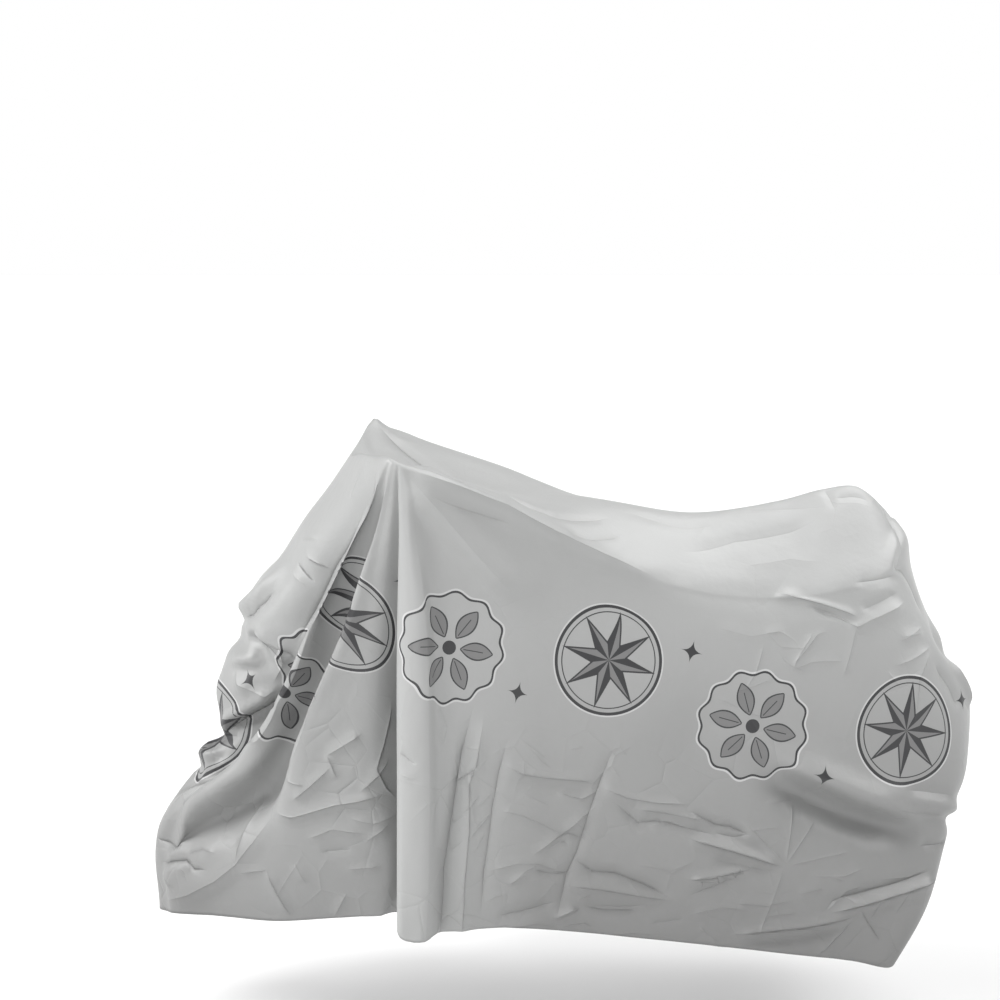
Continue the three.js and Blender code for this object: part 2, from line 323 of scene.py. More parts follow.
# The creases of one side alone: the near shoulder is drawn tight from its peak to the tail, and the far
# one sags behind its peak.
NEAR_CREASES = [
    ([(0, 1389), (15, 1383), (130, 1340), (250, 1294), (380, 1230), (500, 1176), (640, 1122)], 13, 4, 3.4),
    ([(0, 1389), (15, 1378), (130, 1322), (250, 1272), (380, 1211), (500, 1160), (640, 1110)], 28, 11, 0),
]
FAR_CREASES = [
    ([(-30, 1400), (100, 1350), (250, 1290), (420, 1210)], 45, -8, 0),
]

# Places where the film laps over itself: path, half width, and how far the upper edge stands out and the
# lower one lies back.
SIDE_LAPS = [
    ([(-1000, 978), (-810, 985), (-750, 1005), (-700, 1035), (-645, 1068), (-560, 1125)], 13, 12),
    ([(-870, 862), (-825, 870), (-745, 885), (-715, 898)], 12, 10),
    ([(-900, 690), (-845, 730), (-805, 755), (-765, 780), (-735, 805), (-705, 850)], 14, 20),
    ([(-880, 575), (-835, 597), (-795, 630)], 14, 9),
    ([(800, 700), (885, 660), (955, 627), (1035, 588), (1145, 545), (1240, 515)], 32, 36),
    ([(1060, 640), (1110, 620), (1185, 580), (1300, 540), (1400, 505), (1600, 450)], 16, 11),
    ([(-935, 405), (-885, 430), (-785, 485), (-685, 545), (-625, 605), (-580, 695), (-540, 790)], 40, 31),
]

# The creases of the top, likewise, with their paths as places along the cover and across it.
TOP_CREASES = [
    ([(-310, 310), (-222, 160), (-112, -35), (0, -290)], 16, -11, -4),
    ([(-10, -220), (60, -270), (130, -238), (260, -120)], 15, -5, -1.8),
    ([(150, -298), (215, -260), (290, -185)], 14, -4, -1.6),
    ([(775, -10), (792, -80)], 12, -3, -1.4),
    ([(570, -15), (785, -75)], 18, -3, -0.8),
    ([(415, -182), (550, -125), (680, -110), (770, -90)], 20, -5, -1.0),
    ([(560, -190), (680, -170), (760, -185)], 18, 3, 0.6),
    ([(795, -50), (880, -45)], 12, -3, -1.2),
    ([(905, 10), (925, -20), (940, -60), (942, -110), (925, -165)], 15, -5, -2.4),
    ([(300, -60), (430, -90), (520, -70)], 20, -3, -0.6),
    ([(60, 240), (190, 120), (330, 60)], 18, -4, -1.0),
    ([(480, 170), (620, 120), (740, 130)], 18, -4, -0.8),
]

# On the far side the creases lie this far along and up from there, and are this many times as wide.
FAR_SHIFT = (35, -25)
FAR_SPREAD = 1.6

# The last stretch above the hem turns in a little, except at the nose and at the foot of the pipe fold. In
# some places the hem is drawn down: place along the film, half width, drop and push towards the tail.
HEM_DEPTH = 200
HEM_TURN = 22
HEM_TURN_PLACES = (-900, -700, -120, -45, 60, 160)
HEM_TURN_SHARES = (0, 1, 1, 0, 0, 1)
HEM_POINTS = [
    (-190, 110, 9, 0), (-32, 32, 12, 0), (0, 40, -2, 0),
    (140, 90, 6, 0), (520, 600, 8, 0), (1150, 150, 6, 14),
]

# The far peak is drawn out to a point: along, out and height of its middle, reach and rise.
FAR_PEAK = (-322, 335, 1406)
PEAK_REACH = 16
PEAK_RISE = 13

SAME_PLACE = 1e-4


def curve_through(knots, places, closed=False):
    """Smooth curves through knots, read at places counted in knots along the first axis.

    Each stretch is the cubic of a centripetal Catmull-Rom curve: its end tangents come from the four knots
    around it, spaced by the square roots of their distances. Knots in one place take the next spacing.
    """
    first = np.floor(places).astype(int)
    if closed:
        around = [knots[(first + step) % len(knots)] for step in (-1, 0, 1, 2)]
    else:
        first = np.minimum(first, len(knots) - 2)
        ends = 2 * knots[:1] - knots[1:2], 2 * knots[-1:] - knots[-2:-1]
        longer = np.concatenate([ends[0], knots, ends[1]])
        around = [longer[first + step] for step in range(4)]
    gaps = [np.sqrt(np.linalg.norm(b - a, axis=-1, keepdims=True)) for a, b in zip(around, around[1:])]
    middle = np.where(gaps[1] < SAME_PLACE, 1.0, gaps[1])
    before, after = (np.where(gap < SAME_PLACE, middle, gap) for gap in (gaps[0], gaps[2]))
    p0, p1, p2, p3 = around
    out_of = ((p1 - p0) / before - (p2 - p0) / (before + middle)) * middle + p2 - p1
    into = (p2 - p1) - ((p3 - p1) / (middle + after) - (p3 - p2) / after) * middle
    share = (places - first).reshape((-1,) + (1,) * (knots.ndim - 1))
    bend = -3 * p1 + 3 * p2 - 2 * out_of - into
    twist = 2 * p1 - 2 * p2 + out_of + into
    return p1 + share * (out_of + share * (bend + share * twist))


def line_points(row, side):
    """The nine points of one line: spine, crown, shoulder, brow, four fixed heights and hem.

    The crown and the brow lie a bend's share of the way from the shoulder to the spine and to the chest.
    """
    spine, skew, shoulder, *between, hem = row
    knots = np.array(SPINE, float)
    height = curve_through(knots, np.interp([spine], knots[:, 0], np.arange(len(knots))))[0, 1]
    top = np.array([spine, 0, height])
    bend = np.array([shoulder[0] - side * shoulder[1] * skew * PEAK_SKEW, side * shoulder[1], shoulder[2]])
    levels = [np.array([x, side * out, z]) for (x, out), z in zip(between, LEVEL_HEIGHTS.values())]
    crown = bend + BEND_SHARE * (top - bend)
    crown[2] += CROWN_SHARE * (1 - skew) * np.linalg.norm(top - bend)
    brow = bend + BEND_SHARE * (levels[0] - bend)
    return [top, crown, bend, brow, *levels, np.array([hem[0], side * hem[1], hem[2]])]


def loop_of_lines():
    """All lines in a closed loop: the near side from nose to tail, then the far side, softened, back."""
    near, far = (np.array([line_points(row, side) for row in LINES.values()]) for side in (NEAR, FAR))
    mean = (far[:-2] + far[2:]) / 2
    soft = mean + (1 + FAR_FOLD_SHARE) / 2 * (far[1:-1] - mean)
    soft[:, 0] = far[1:-1, 0]
    return np.concatenate([near, soft[::-1]])


def even_steps(lengths, spacing):
    """How many even-numbered steps of about that spacing each length takes."""
    return np.maximum(2, 2 * np.rint(lengths / (2 * spacing))).astype(int)


def stepped(steps):
    """Places counted in knots: each stretch split into its number of steps, with the last knot added."""
    parts = [knot + np.arange(count) / count for knot, count in enumerate(steps)]
    return np.append(np.concatenate(parts), len(steps))


# The film's grid has its columns and rows about this far apart. The columns are counted at the waist, the
# tuck and the knee, and the rows on the mean line of the near side.
POINT_SPACING = 9.2
SIDE_LEVELS = slice(5, 8)
lines = loop_of_lines()
half_lines = len(LINES) - 1
near_lines = lines[: half_lines + 1]
side_widths = np.linalg.norm(np.diff(near_lines[:, SIDE_LEVELS], axis=0), axis=-1).mean(axis=1)
level_lengths = np.linalg.norm(np.diff(near_lines, axis=1), axis=-1).mean(axis=0)
near_places = stepped(even_steps(side_widths, POINT_SPACING))
places = np.concatenate([near_places, 2 * half_lines - near_places[-2:0:-1]])
columns = len(places)
half = columns // 2
mirror = -np.arange(columns) % columns
row_places = stepped(even_steps(level_lengths, POINT_SPACING))
rows = len(row_places) - 1

knots = curve_through(lines, places, closed=True)
with_crown = np.concatenate([knots[mirror, 1:2], knots], axis=1)
film = curve_through(with_crown.swapaxes(0, 1), row_places + 1).swapaxes(0, 1)

NO_LENGTH = 1e-9


def outward(grid):
    """Unit normals of the film: the cross product of the steps down and along, also across the spine."""
    along = np.roll(grid, -1, axis=0) - np.roll(grid, 1, axis=0)
    down = np.gradient(np.concatenate([grid[mirror, 1:2], grid], axis=1), axis=1)[:, 1:]
    normal = np.cross(down, along)
    return normal / np.maximum(np.linalg.norm(normal, axis=-1, keepdims=True), NO_LENGTH)


def path_places(points, path):
    """Where points lie by a path: signed distance, positive on its left, and share of its length."""
    path = np.array(path, float)
    runs = np.diff(path, axis=0)
    lengths = np.linalg.norm(runs, axis=1)
    starts = np.concatenate([[0], np.cumsum(lengths)])
    best = np.full(points.shape[:-1], np.inf)
    share = np.zeros(points.shape[:-1])
    for start, run, length, before in zip(path, runs, lengths, starts):
        place = points - start
        along = np.clip(place @ run / length**2, 0, 1)
        away = np.linalg.norm(place - along[..., None] * run, axis=-1)
        side = np.where(run[0] * place[..., 1] - run[1] * place[..., 0] < 0, -1.0, 1.0)
        nearer = away < np.abs(best)
        best = np.where(nearer, side * away, best)
        share = np.where(nearer, (before + along * length) / starts[-1], share)
    return best, share


def fade(share, ends=0.22):
    """One along a path, nothing at its ends: 3 r^2 - 2 r^3 of the rise r over the share at each end."""
    rise = np.clip(np.minimum(share, 1 - share) / ends, 0, 1)
    return rise * rise * (3 - 2 * rise)


slack = np.zeros(film.shape[:2])
for side, start, end, width, out in SLACK_FOLDS:
    distance, _ = path_places(film[..., [0, 2]], [start, end])
    slack += np.where(side * film[..., 1] > 0, out * np.exp(-((distance / width) ** 2)), 0)
film = film + slack[..., None] * outward(film)

# Where each point lies on its side: along the film from the pipe fold, and its height, which goes on over
# the top as the distance from the shoulder. The far side's lengths are brought to the near side's, so that
# the two meet at the nose and the tail, but its creases lie a little elsewhere.
pipe_column = int(np.searchsorted(near_places, list(LINES).index("pipe_fold")))
shoulder_row = int(np.searchsorted(row_places, SHOULDER_LEVEL))
steps_down = np.linalg.norm(np.diff(film, axis=1, prepend=film[:, :1]), axis=-1)
down = np.cumsum(steps_down, axis=1)
below_shoulder = down - down[:, shoulder_row : shoulder_row + 1]
unrolled = np.where(below_shoulder > 0, film[..., 2], film[:, shoulder_row, None, 2] - below_shoulder)


def side_places(chosen):
    """Lengths along each row of a side from the pipe fold, with the unrolled heights."""
    grid = film[chosen]
    lengths = np.cumsum(np.linalg.norm(np.diff(grid, axis=0, prepend=grid[:1]), axis=-1), axis=0)
    return np.stack([lengths - lengths[pipe_column], unrolled[chosen]], axis=-1)


near_side = side_places(np.arange(half + 1))
far_side = side_places(mirror[: half + 1])
to_nose, to_tail = near_side[[0, -1], :, 0] / far_side[[0, -1], :, 0]
far_side[..., 0] *= np.where(far_side[..., 0] < 0, to_nose, to_tail)
far_side = far_side[-2:0:-1]
side_place = np.concatenate([near_side, far_side])
SHIFT_RISE = 4
off_seams = np.sin(np.linspace(0, math.pi, len(far_side) + 2)[1:-1])
far_shift = np.clip(SHIFT_RISE * off_seams, 0, 1)[:, None, None] * np.array(FAR_SHIFT)
crease_place = np.concatenate([near_side, far_side + far_shift])

# How much of a crease each point takes: all over, on one side alone, or on the top, running out below the
# shoulder.
TOP_EDGE = 40
spread = np.where(np.arange(columns) > half, FAR_SPREAD, 1.0)[:, None]
whole = np.ones(film.shape[:2])
on_near = np.where(np.arange(columns) > half, 0.0, 1.0)[:, None] * whole
on_top = np.clip(1 - below_shoulder / TOP_EDGE, 0, 1)
crease_groups = (
    (SIDE_CREASES, crease_place, whole),
    (NEAR_CREASES, crease_place, on_near),
    (FAR_CREASES, crease_place, whole - on_near),
    (TOP_CREASES, film[..., :2], on_top),
)

# The soft form of the creases goes into the film: a crease stands out by exp(-b^2) of its height and a lap
# by b exp((1 - b^2) / 2), where b is the distance over the half width. The crisp lines go into layers for
# the finish. A layer holds lines that keep clear of each other, as each point's distance and height.
LAP_FADE = 0.35
CRISP_REACH = 25
CRISP_CLEAR = 45
CRISP_LAYERS = 10
crisp_distance = np.full((CRISP_LAYERS,) + film.shape[:2], np.inf)
crisp_height = np.zeros((CRISP_LAYERS,) + film.shape[:2])
hem_share = np.clip(1 - (down[:, -1:] - down) / HEM_DEPTH, 0, 1)
relief = -HEM_TURN * np.interp(side_place[..., 0], HEM_TURN_PLACES, HEM_TURN_SHARES) * hem_share**2
for creases, place, panel in crease_groups:
    for path, width, out, crisp in creases:
        distance, share = path_places(place, path)
        strength = fade(share) * panel
        relief += strength * out * np.exp(-((distance / (width * spread)) ** 2))
        if crisp:
            away = np.abs(distance)
            close = (away < CRISP_CLEAR) & (panel > 0)
            taken = [(close & (np.abs(lines_there) < CRISP_CLEAR)).any() for lines_there in crisp_distance]
            layer = taken.index(False) if False in taken else CRISP_LAYERS - 1
            nearer = (away < np.abs(crisp_distance[layer])) & (panel > 0)
            crisp_height[layer][nearer] = (strength * crisp * (away < CRISP_REACH))[nearer]
            crisp_distance[layer][nearer] = distance[nearer]
for path, width, out in SIDE_LAPS:
    distance, share = path_places(crease_place, path)
    bend = distance / (width * spread)
    relief += fade(share, LAP_FADE) * out * bend * np.exp((1 - bend**2) / 2)
film = film + relief[..., None] * outward(film)
for place, width, drop, push in HEM_POINTS:
    tent = np.clip(1 - np.abs(side_place[..., 0] - place) / width, 0, 1) * hem_share
    film[..., 0] += push * tent
    film[..., 2] -= drop * tent
film[..., 2] += PEAK_RISE * np.exp(-np.linalg.norm(film - FAR_PEAK, axis=-1) / PEAK_REACH)


def sheet_corners():
    """Grid places (column, row) of each face's corners, anticlockwise from outside, -1 where unused.

    The far side has half the columns and rows. Its faces along the spine, the nose and the tail also take
    the near side's points that lie between their corners, so that no seam is left open.
    """
    corners = []
    for first, last, step in ((0, half, 1), (half, columns, 2)):
        grids = np.meshgrid(np.arange(first, last, step), np.arange(0, rows, step), indexing="ij")
        column, row = (grid.ravel() for grid in grids)
        next_column, next_row = column + step, row + step
        wide = step == 2
        at_tail = np.where(wide & (column == half), row + 1, -1)
        at_nose = np.where(wide & (next_column == columns), row + 1, -1)
        at_spine = np.where(wide & (row == 0), column + 1, -1)
        round_face = [
            (column, row), (column, at_tail), (column, next_row), (next_column, next_row),
            (next_column, at_nose), (next_column, row), (at_spine, row),
        ]
        corners.append(np.stack([np.stack(corner, axis=-1) for corner in round_face], axis=1))
    return np.concatenate(corners)


# The near side keeps all its points, the far side every other column and row.
kept = np.zeros(film.shape[:2], bool)
kept[: half + 1] = True
kept[half + 2 :: 2, 2::2] = True
number = np.cumsum(kept.ravel()).reshape(kept.shape) - 1
number[half + 1 :, 0] = number[mirror[half + 1 :], 0]
ground_to_frame = np.array([-SADDLE[0], 0, FILM - SADDLE[1]])

corners = sheet_corners()
used = (corners >= 0).all(axis=-1)
corner_counts = used.sum(axis=1)
mesh = bpy.data.meshes.new("film_cover")
mesh.vertices.add(int(kept.sum()))
mesh.vertices.foreach_set("co", ((film[kept] + ground_to_frame) * MILLIMETRE).ravel())
mesh.loops.add(int(used.sum()))
mesh.loops.foreach_set("vertex_index", number[corners[used][:, 0] % columns, corners[used][:, 1]])
mesh.polygons.add(len(corner_counts))
mesh.polygons.foreach_set("loop_start", np.cumsum(corner_counts) - corner_counts)
mesh.polygons.foreach_set("use_smooth", np.ones(len(corner_counts), bool))
mesh.update(calc_edges=True)


def keep_on_points(name, values):
    """Stores a vector for each point of the film, for its finish to read."""
    layer = mesh.attributes.new(name, "FLOAT_VECTOR", "POINT")
    layer.data.foreach_set("vector", values[kept].astype(np.float32).ravel())


FAR_FROM_LINE = 3 * CRISP_REACH
for layer in range(CRISP_LAYERS):
    line = np.clip(crisp_distance[layer], -FAR_FROM_LINE, FAR_FROM_LINE)
    keep_on_points(f"crisp_{layer}", np.stack([line, crisp_height[layer], np.zeros_like(line)], axis=-1))

# The middle of the printed band, on a side: along the film from the pipe fold, height.
BAND = [
    (-1000, 620), (-780, 735), (-600, 870), (-430, 965), (-230, 1012), (0, 1020), (200, 990),
    (565, 875), (960, 770), (1225, 715), (1600, 685),
]
BAND_STEPS = 400


def band_places(points):
    """Where points lie by the band's middle line: along it, and above it.

    The line is smooth. Its height and slope at a point's place give the point's height over it, turned by
    the slope into the part across the line and the part along it.
    """
    middle = curve_through(np.array(BAND, float), np.linspace(0, len(BAND) - 1, BAND_STEPS))
    slope = np.gradient(middle[:, 1], middle[:, 0])
    length = np.concatenate([[0], np.cumsum(np.linalg.norm(np.diff(middle, axis=0), axis=1))])
    over = points[..., 1] - np.interp(points[..., 0], middle[:, 0], middle[:, 1])
    turn = np.arctan(np.interp(points[..., 0], middle[:, 0], slope))
    along = np.interp(points[..., 0], middle[:, 0], length) + over * np.sin(turn)
    return np.stack([along, over * np.cos(turn), np.zeros_like(over)], axis=-1)


# The motifs stand about 350 mm apart, counted from the nose, so that the last one is centred on the tail.
MOTIF_STEP = 350
band = band_places(side_place)
seam_rows = np.abs(band[[0, half], :, 1]).argmin(axis=1)
nose_at, tail_at = band[[0, half], seam_rows, 0]
band[..., 0] -= nose_at
repeat = 2 * MILLIMETRE * (tail_at - nose_at) / round((tail_at - nose_at) / MOTIF_STEP)
keep_on_points("band", band * MILLIMETRE)

# Painted shade darkens the film's colour towards the hem, most on the flanks and the nose, less on the
# skirt and not at all on the pipe fold.
PAINTED_SHADE_HEIGHTS = (225, 1025)
PAINTED_SHADE_PLACES = (-800, -450, -200, -60, 120, 300)
PAINTED_SHADE_SHARES = (0.9, 0.6, 0.6, 0, 0, 1)
painted_shade = np.interp(side_place[..., 0], PAINTED_SHADE_PLACES, PAINTED_SHADE_SHARES)
painted_shade *= np.interp(film[..., 2], PAINTED_SHADE_HEIGHTS, (1, 0))
keep_on_points("painted_shade", np.repeat(painted_shade[..., None], 3, axis=-1))

SHEET_THICKNESS = 0.8
cover = bpy.data.objects.new("film_cover", mesh)
bpy.context.scene.collection.objects.link(cover)
thickness = cover.modifiers.new("thickness", "SOLIDIFY")
thickness.thickness = SHEET_THICKNESS * MILLIMETRE
thickness.offset = -1

# The finish of the film: satin silver-grey, a little mottled, with crisp crease lines, a fine crinkle, the
# printed band and painted shade towards the hem. Crease heights are in millimetres, drawn a little higher
# than they are by the gain.
FILM_GREY = (0.33, 0.333, 0.33, 1)
# the colour that painted shade darkens the film to towards the hem
PAINTED_SHADE_GREY = (0.19, 0.19, 0.188, 1)
HALO_GREY = (0.45, 0.45, 0.45, 1)
FILL_GREY = (0.16, 0.16, 0.16, 1)
INK_GREY = (0.03, 0.03, 0.032, 1)
FILM_ROUGHNESS = 0.45
MOTTLE_DIMMING = 0.93
MOTTLE_STRENGTH = 0.5
MOTTLE_SCALE = 5
MOTTLE_DETAIL = 4
CREASE_GAIN = 1.3
CRISP_WIDTH = 4
FINE_SCALE = 11
FINE_WIDTH = 0.004
FINE_HEIGHT = 6.24
FINE_HEIGHTS = (-0.55, -0.3)
FINE_SHARE_ABOVE = 0.25
PATCH_SCALE = 4
PATCH_DETAIL = 1
UNEVEN_SCALE = 8
UNEVEN_HEIGHT = 2.9
GRAIN_SCALE = 34
GRAIN_HEIGHT = 0.75
GRAIN_ROUGHNESS = 0.6
RELIEF_DETAIL = 3

finish = bpy.data.materials.new("satin_film")
finish.use_nodes = True
nodes, links = finish.node_tree.nodes, finish.node_tree.links
shader = nodes["Principled BSDF"]
shader.inputs["Roughness"].default_value = FILM_ROUGHNESS


def feed(socket, value):
    """Links a node's output to a socket, or sets the socket to a plain value."""
    if isinstance(value, bpy.types.NodeSocket):
        links.new(value, socket)
    else:
        socket.default_value = value


def calc(operation, *values):
    """The output of one math node."""
    node = nodes.new("ShaderNodeMath")
    node.operation = operation
    for socket, value in zip(node.inputs, values):
        feed(socket, value)
    return node.outputs[0]


def on_points(name):
    """The parts of a vector that is kept on the film's points."""
    source = nodes.new("ShaderNodeAttribute")
    source.attribute_name = name
    parts = nodes.new("ShaderNodeSeparateXYZ")
    links.new(source.outputs["Vector"], parts.inputs[0])
    return parts.outputs


def tinted(share, below, colour):
    """A colour laid over another by a share."""
    node = nodes.new("ShaderNodeMix")
    node.data_type = "RGBA"
    feed(node.inputs["Factor"], share)
    feed(node.inputs["A"], below)
    feed(node.inputs["B"], colour)
    return node.outputs["Result"]


def within(value, limit):
    """One where a value is less than a limit."""
    return calc("LESS_THAN", value, limit)


def stroke(distance, width):
    """One along a line of that width."""
    return within(calc("ABSOLUTE", distance), width / 2)


def either(*shares):
    """One where any of the shares is."""
    result = shares[0]
    for share in shares[1:]:
        result = calc("MAXIMUM", result, share)
    return result


def both(*shares):
    """One where all the shares are."""
    result = shares[0]
    for share in shares[1:]:
        result = calc("MULTIPLY", result, share)
    return result


# The print, in metres: stars in double rings and six-leaved rosettes in turn, one higher and one lower,
# with small sparks between them.
MOTIF_RADIUS = 0.122
MOTIF_RISE = 0.03
OUTLINE = 0.0036
HALO = 0.007
RING_WIDTH = 0.007
RING_GAP = 0.013
INNER_RING_WIDTH = 0.7 * OUTLINE
STAR_RAYS = 8
STAR_TIP = 0.105
STAR_NOTCH = 0.04
LEAVES = 6
LEAF_START = 0.026
LEAF_LENGTH = 0.077
LEAF_HALF_WIDTH = 0.019
VEIN_WIDTH = 0.6 * OUTLINE
VEIN_MIDDLE = 0.4
VEIN_SHARE = 0.6
HEART = 0.016
SCALLOPS = 12
SCALLOP = 0.005
SCALLOP_WIDTH = 1.4 * OUTLINE
SPARK = 0.028
SPARK_RISE = 0.1

along, height, _ = on_points("band")


def motif_place(middle, rise):
    """Places round a motif's middle: along, up, radius and angle. The motif comes back at each repeat."""
    x = calc("WRAP", calc("SUBTRACT", along, middle), repeat / 2, -repeat / 2)
    y = calc("SUBTRACT", height, rise)
    radius = calc("SQRT", calc("ADD", calc("MULTIPLY", x, x), calc("MULTIPLY", y, y)))
    return x, y, radius, calc("ARCTAN2", y, x)


def from_ray(radius, angle, rays):
    """Places measured from the nearest of some rays: along it, away from it, and which side of it."""
    turn = calc("WRAP", angle, math.pi / rays, -math.pi / rays)
    away = calc("ABSOLUTE", turn)
    on_ray = calc("MULTIPLY", radius, calc("COSINE", away))
    off_ray = calc("MULTIPLY", radius, calc("SINE", away))
    return on_ray, off_ray, calc("GREATER_THAN", turn, 0)


# A star's edge runs from the tip of a ray to the notch beside it. The distance from that line shows which
# side of the edge a point lies on.
_, _, radius, angle = motif_place(0, MOTIF_RISE)
on_ray, off_ray, left_half = from_ray(radius, angle, STAR_RAYS)
notch_along = STAR_NOTCH * math.cos(math.pi / STAR_RAYS)
notch_out = STAR_NOTCH * math.sin(math.pi / STAR_RAYS)
edge_length = math.hypot(notch_out, STAR_TIP - notch_along)
across_edge = (notch_out / edge_length, (STAR_TIP - notch_along) / edge_length)
reach = calc("ADD", calc("MULTIPLY", on_ray, across_edge[0]), calc("MULTIPLY", off_ray, across_edge[1]))
star = calc("SUBTRACT", reach, STAR_TIP * across_edge[0])
in_star = within(star, 0)
star_ink = either(
    stroke(calc("SUBTRACT", radius, MOTIF_RADIUS), RING_WIDTH),
    stroke(calc("SUBTRACT", radius, MOTIF_RADIUS - RING_GAP), INNER_RING_WIDTH),
    both(in_star, left_half),
    stroke(star, OUTLINE),
)
star_halo = stroke(calc("SUBTRACT", radius, MOTIF_RADIUS + RING_WIDTH / 2), HALO)

# A leaf's half width is the parabola 4 s (1 - s) of its largest, at the share s of its length. The line
# round the leaves is scalloped by the cosine of the angle.
_, _, radius, angle = motif_place(repeat / 2, -MOTIF_RISE)
on_ray, off_ray, _ = from_ray(radius, angle, LEAVES)
share = calc("DIVIDE", calc("SUBTRACT", on_ray, LEAF_START), LEAF_LENGTH)
leaf_half = calc("MULTIPLY", calc("MULTIPLY", share, calc("SUBTRACT", 1, share)), 4 * LEAF_HALF_WIDTH)
leaf = calc("SUBTRACT", off_ray, leaf_half)
in_length = stroke(calc("SUBTRACT", share, 0.5), 1)
in_leaf = both(within(leaf, 0), in_length)
scallop = calc("MULTIPLY", calc("COSINE", calc("MULTIPLY", angle, SCALLOPS)), SCALLOP)
scalloped = calc("SUBTRACT", calc("SUBTRACT", radius, MOTIF_RADIUS), scallop)
leaf_ink = either(
    both(stroke(leaf, OUTLINE), in_length),
    both(stroke(off_ray, VEIN_WIDTH), stroke(calc("SUBTRACT", share, VEIN_MIDDLE), VEIN_SHARE)),
    within(radius, HEART),
    stroke(scalloped, SCALLOP_WIDTH),
)
leaf_halo = stroke(calc("SUBTRACT", scalloped, OUTLINE), HALO)


def spark(middle, rise):
    """A four-pointed spark: the square roots of the ways along and up add up to less than its size's."""
    x, y, _, _ = motif_place(middle, rise)
    out = calc("ADD", calc("SQRT", calc("ABSOLUTE", x)), calc("SQRT", calc("ABSOLUTE", y)))
    return within(out, math.sqrt(SPARK))


spark_ink = either(spark(repeat / 4, SPARK_RISE), spark(-repeat / 4, -SPARK_RISE))

coordinates = nodes.new("ShaderNodeTexCoord").outputs["Object"]


def noise(scale, detail, roughness=0.5):
    """A soft noise over the film, about zero."""
    node = nodes.new("ShaderNodeTexNoise")
    links.new(coordinates, node.inputs["Vector"])
    node.inputs["Scale"].default_value = scale
    node.inputs["Detail"].default_value = detail
    node.inputs["Roughness"].default_value = roughness
    return calc("SUBTRACT", node.outputs[0], 0.5)


def from_height(low, high, at_low, at_high):
    """A value that goes smoothly from one to another between two heights."""
    parts = nodes.new("ShaderNodeSeparateXYZ")
    links.new(coordinates, parts.inputs[0])
    node = nodes.new("ShaderNodeMapRange")
    node.interpolation_type = "SMOOTHSTEP"
    links.new(parts.outputs["Z"], node.inputs["Value"])
    for name, value in (("From Min", low), ("From Max", high), ("To Min", at_low), ("To Max", at_high)):
        node.inputs[name].default_value = value
    return node.outputs["Result"]


mottle = calc("MULTIPLY_ADD", noise(MOTTLE_SCALE, MOTTLE_DETAIL), MOTTLE_STRENGTH, 0.5)
dim_grey = (*(MOTTLE_DIMMING * part for part in FILM_GREY[:3]), 1)
film_grey = tinted(mottle, dim_grey, FILM_GREY)
# painted shade towards the hem, laid into the film's colour
film_grey = tinted(on_points("painted_shade")[0], film_grey, PAINTED_SHADE_GREY)
halo = either(star_halo, leaf_halo)
fill = either(in_star, in_leaf)
ink = either(star_ink, leaf_ink, spark_ink)
colour = tinted(ink, tinted(fill, tinted(halo, film_grey, HALO_GREY), FILL_GREY), INK_GREY)
links.new(colour, shader.inputs["Base Color"])

# Fine creases cross all over the film, most of them low on the sides, over a soft unevenness.
fine = nodes.new("ShaderNodeTexVoronoi")
fine.feature = "DISTANCE_TO_EDGE"
fine.inputs["Scale"].default_value = FINE_SCALE
links.new(coordinates, fine.inputs["Vector"])
fine_line = calc("EXPONENT", calc("MULTIPLY", fine.outputs["Distance"], -1 / (FINE_SCALE * FINE_WIDTH)))
patchy = calc("MULTIPLY", noise(PATCH_SCALE, PATCH_DETAIL), FINE_HEIGHT)
low_down = from_height(*FINE_HEIGHTS, 1, FINE_SHARE_ABOVE)
creased = calc("MULTIPLY", calc("MULTIPLY", fine_line, patchy), low_down)
creased = calc("MULTIPLY_ADD", noise(UNEVEN_SCALE, RELIEF_DETAIL), UNEVEN_HEIGHT, creased)
creased = calc("MULTIPLY_ADD", noise(GRAIN_SCALE, RELIEF_DETAIL, GRAIN_ROUGHNESS), GRAIN_HEIGHT, creased)
for layer in range(CRISP_LAYERS):
    distance, height_of_line, _ = on_points(f"crisp_{layer}")
    tent = calc("EXPONENT", calc("MULTIPLY", calc("ABSOLUTE", distance), -1 / CRISP_WIDTH))
    creased = calc("MULTIPLY_ADD", tent, height_of_line, creased)
bump = nodes.new("ShaderNodeBump")
bump.inputs["Distance"].default_value = CREASE_GAIN * MILLIMETRE
links.new(creased, bump.inputs["Height"])
links.new(bump.outputs["Normal"], shader.inputs["Normal"])
cover.data.materials.append(finish)

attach(cover, "root")
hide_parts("cover")

# The floor
# A plain pale studio floor at the ground over which the cover hangs. It is one large flat sheet that glows
# a little of its own, so that the shadow under the cover stays light.
GROUND = (FILM - SADDLE[1]) * MILLIMETRE
FLOOR_HALF = 30.0
FLOOR_GREY = (0.42, 0.42, 0.42, 1)
FLOOR_ROUGHNESS = 0.9
FLOOR_GLOW = 0.45
WHITE = (1, 1, 1, 1)
floor_mesh = bpy.data.meshes.new("floor")
floor_corners = [(x * FLOOR_HALF, y * FLOOR_HALF, GROUND) for x, y in ((-1, -1), (1, -1), (1, 1), (-1, 1))]
floor_mesh.from_pydata(floor_corners, [], [(0, 1, 2, 3)])
floor = bpy.data.objects.new("floor", floor_mesh)
bpy.context.scene.collection.objects.link(floor)
paint = bpy.data.materials.new("floor_paint")
paint.use_nodes = True
floor_shader = paint.node_tree.nodes["Principled BSDF"]
floor_shader.inputs["Base Color"].default_value = FLOOR_GREY
floor_shader.inputs["Roughness"].default_value = FLOOR_ROUGHNESS
floor_shader.inputs["Emission Color"].default_value = WHITE
floor_shader.inputs["Emission Strength"].default_value = FLOOR_GLOW
floor_mesh.materials.append(paint)

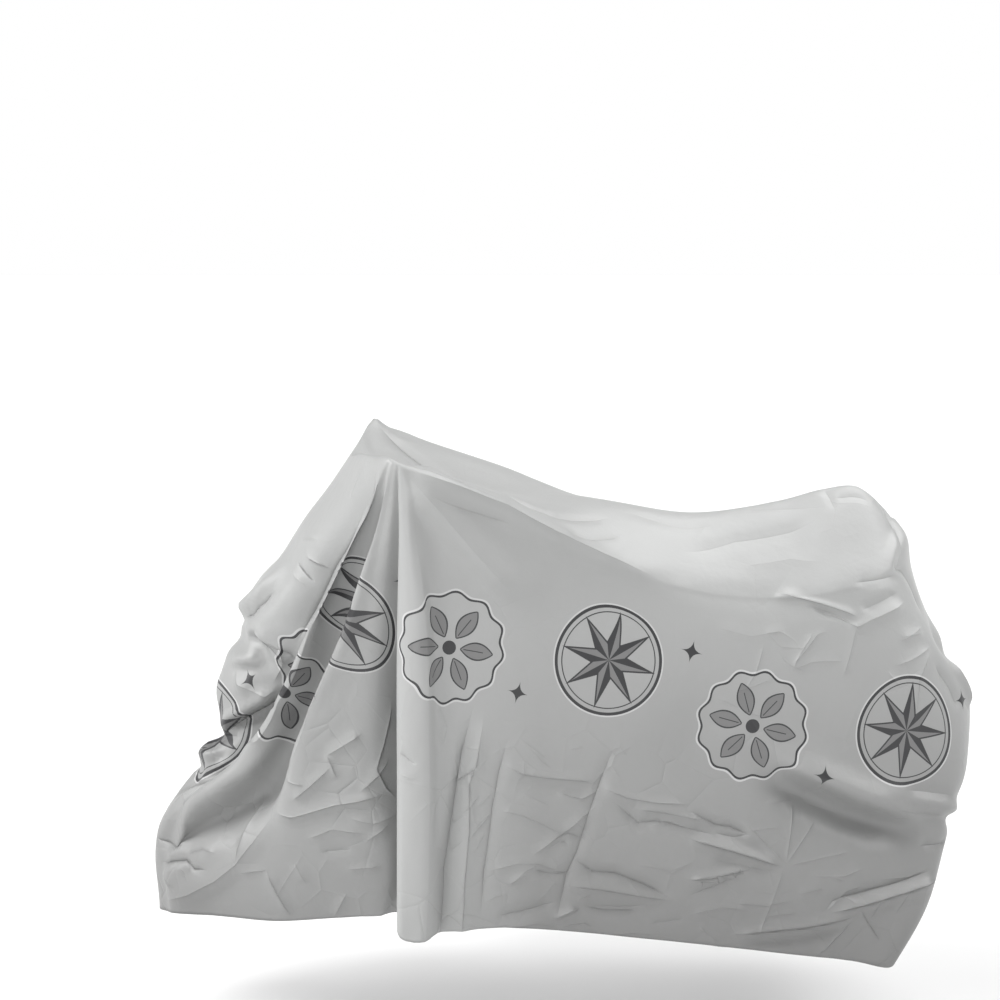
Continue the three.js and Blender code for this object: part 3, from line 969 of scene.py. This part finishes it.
# The light
# A studio that is white at the horizon and dark overhead. Three broad soft lights shine from above: the
# key from the front, one from the far rear corner and one from the near front corner. A square lamp lights
# the front folds from the near side, and another lights the rear from behind it.
HORIZON_STRENGTH = 1.0
ZENITH_STRENGTH = 0.0
HORIZON_TOP = 0.08
ZENITH_START = 0.25

# Broad lights: name, where each shines from, power and width in degrees. Square lamps: name, place, the
# point that each lights, power and width.
BROAD_LIGHTS = [
    ("key", (-8.0, 0.5, 5.0), 1.5, 40),
    ("back", (4.5, 3.5, 8.5), 3.1, 65),
    ("over", (-5.0, -2.6, 7.0), 2.8, 30),
]
SQUARE_LAMPS = [
    ("low", (-1.25, -2.5, 0.2), (-0.65, -0.4, -0.8), 17, 0.8),
    ("tail", (2.4, -0.9, 1.0), (0.5, -0.1, -0.2), 27, 1.2),
]
ORIGIN = (0, 0, 0)

bpy.context.scene.view_settings.view_transform = "Standard"
world = bpy.data.worlds.new("studio")
world.use_nodes = True
bpy.context.scene.world = world
sky_nodes, sky_links = world.node_tree.nodes, world.node_tree.links
direction = sky_nodes.new("ShaderNodeSeparateXYZ")
sky_links.new(sky_nodes.new("ShaderNodeTexCoord").outputs["Generated"], direction.inputs[0])
sky = sky_nodes.new("ShaderNodeMapRange")
sky.interpolation_type = "SMOOTHSTEP"
sky.inputs["From Min"].default_value = HORIZON_TOP
sky.inputs["From Max"].default_value = ZENITH_START
sky.inputs["To Min"].default_value = HORIZON_STRENGTH
sky.inputs["To Max"].default_value = ZENITH_STRENGTH
sky_links.new(direction.outputs["Z"], sky.inputs["Value"])
sky_nodes["Background"].inputs["Color"].default_value = WHITE
sky_links.new(sky.outputs["Result"], sky_nodes["Background"].inputs["Strength"])


def add_lamp(name, kind, place, aim, power):
    """A lamp at a place, turned towards the point that it lights."""
    lamp = bpy.data.objects.new(name, bpy.data.lights.new(name, kind))
    lamp.data.energy = power
    lamp.location = place
    turn = np.subtract(aim, place)
    tilt = math.atan2(math.hypot(turn[0], turn[1]), -turn[2])
    lamp.rotation_euler = (tilt, 0, math.atan2(turn[1], turn[0]) - math.pi / 2)
    bpy.context.scene.collection.objects.link(lamp)
    return lamp.data


for name, place, power, width in BROAD_LIGHTS:
    add_lamp(name, "SUN", place, ORIGIN, power).angle = math.radians(width)
for name, place, aim, power, width in SQUARE_LAMPS:
    add_lamp(name, "AREA", place, aim, power).size = width
